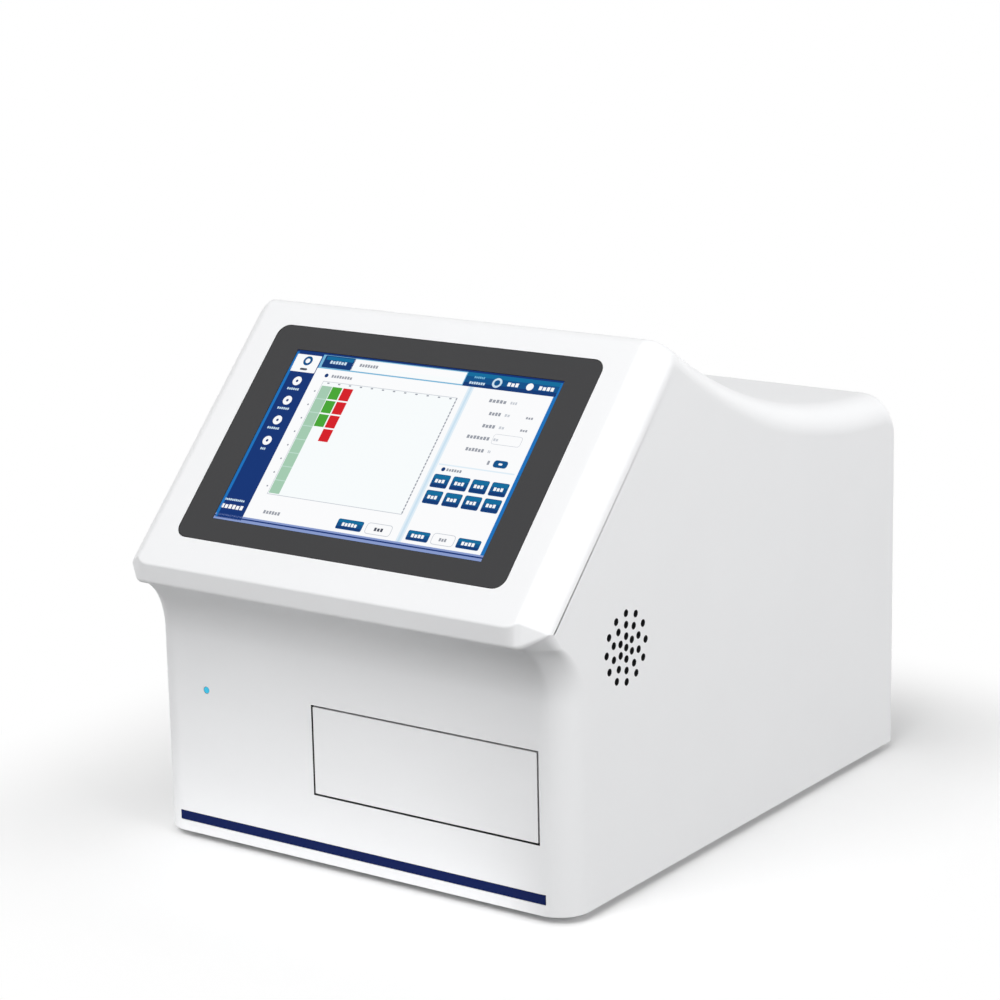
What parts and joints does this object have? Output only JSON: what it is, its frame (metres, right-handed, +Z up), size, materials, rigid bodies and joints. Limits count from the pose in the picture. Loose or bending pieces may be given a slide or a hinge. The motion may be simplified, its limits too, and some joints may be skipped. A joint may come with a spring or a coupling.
{
  "type": "elisa microplate reader",
  "caption": "Desktop microplate reader with a sloping touch screen over a recessed front, a flap door for its plate drawer and a housing that dips towards the back.",
  "frame": {"origin": "on the bench, under the middle of the reader's width and depth", "axes": "+X to the reader's right seen from its front, +Y from the front to the back, +Z up"},
  "size_m": [0.338, 0.454, 0.3527],
  "materials": {
    "white_abs": "white moulded plastic with a fine even texture",
    "dark_border": "dark grey border printed behind a smooth panel",
    "screen": "lit display",
    "navy_strip": "dark blue satin strip",
    "cyan_lens": "small cyan light",
    "steel_sheet": "plain plated sheet",
    "bright_steel": "ground and bright",
    "aluminium": "machined",
    "black_anodised": "black anodised",
    "black_plastic": "black moulded plastic",
    "grey_plastic": "grey moulded plastic",
    "rubber": "black rubber",
    "board_green": "green circuit board",
    "paper_cone": "dark pressed pulp"
  },
  "bodies": {
    "housing": {"housing_shell": "white_abs", "base_plate": "steel_sheet", "rear_panel": "steel_sheet", "foot_1": "rubber", "foot_2": "rubber", "foot_3": "rubber", "foot_4": "rubber", "front_trim_strip": "navy_strip", "status_led": "cyan_lens", "touch_bezel": "dark_border", "lcd_panel": "screen", "lcd_bracket": "steel_sheet", "display_board": "board_green", "door_ear_left": "grey_plastic", "door_ear_right": "grey_plastic", "slide_chassis": "steel_sheet", "guide_rod_left": "bright_steel", "guide_rod_right": "bright_steel", "drive_belt": "rubber", "idler_axle": "bright_steel", "slide_motor": "black_anodised", "motor_bracket": "steel_sheet", "optics_bridge": "aluminium", "fibre_head": "black_anodised", "detector_bar": "black_anodised", "detector_board": "board_green", "detector_bracket": "steel_sheet", "optics_mount": "aluminium", "collimator": "black_anodised", "filter_motor": "black_anodised", "lamp_housing": "aluminium", "fibre_bundle": "black_plastic", "main_board": "board_green", "power_supply": "aluminium", "speaker_frame": "steel_sheet", "speaker_cone": "paper_cone", "speaker_magnet": "black_plastic", "fan_frame": "black_plastic", "fan_guard": "bright_steel", "mains_inlet": "black_plastic", "switch_body": "black_plastic", "data_ports": "grey_plastic", "fan_screw_1": "bright_steel", "fan_screw_2": "bright_steel", "fan_screw_3": "bright_steel", "fan_screw_4": "bright_steel"},
    "tray": {"plate_tray": "black_anodised", "bearing_block_left": "aluminium", "bearing_block_right": "aluminium", "belt_clamp": "aluminium"},
    "door": {"door_flap": "white_abs"},
    "drive_wheel": {"motor_pulley": "aluminium"},
    "idler_wheel": {"idler_pulley": "aluminium"},
    "filter_disc": {"filter_wheel": "black_anodised"},
    "fan_wheel": {"fan_rotor": "black_plastic"},
    "rocker": {"switch_rocker": "black_plastic"}
  },
  "joints": [
    {"name": "tray_slide", "type": "slide", "parent": "housing", "child": "tray", "axis": [0, -1, 0], "range_m": [0, 0.165]},
    {"name": "door_hinge", "type": "hinge", "parent": "housing", "child": "door", "pos_m": [0.0571, -0.1914, 0.1002], "axis": [-1, 0, 0], "range_deg": [0, 100]},
    {"name": "motor_pulley_turn", "type": "hinge", "parent": "housing", "child": "drive_wheel", "pos_m": [-0.0389, 0.058, 0.036], "axis": [1, 0, 0], "range_deg": [0, 1351]},
    {"name": "idler_pulley_turn", "type": "hinge", "parent": "housing", "child": "idler_wheel", "pos_m": [-0.0389, -0.1767, 0.036], "axis": [1, 0, 0], "range_deg": [0, 1351]},
    {"name": "filter_wheel_turn", "type": "hinge", "parent": "housing", "child": "filter_disc", "pos_m": [0.0571, 0.098, 0.108], "axis": [0, 1, 0], "continuous": true},
    {"name": "fan_turn", "type": "hinge", "parent": "housing", "child": "fan_wheel", "pos_m": [0.115, 0.213, 0.155], "axis": [0, 1, 0], "continuous": true},
    {"name": "power_rocker", "type": "hinge", "parent": "housing", "child": "rocker", "pos_m": [-0.055, 0.2233, 0.057], "axis": [0, 0, -1], "range_deg": [0, 16]}
  ],
  "couplings": [
    {"joint": "door_hinge", "follows": "tray_slide", "rad_per_m": 10.577},
    {"joint": "motor_pulley_turn", "follows": "tray_slide", "rad_per_m": 142.86},
    {"joint": "idler_pulley_turn", "follows": "tray_slide", "rad_per_m": 142.86}
  ]
}
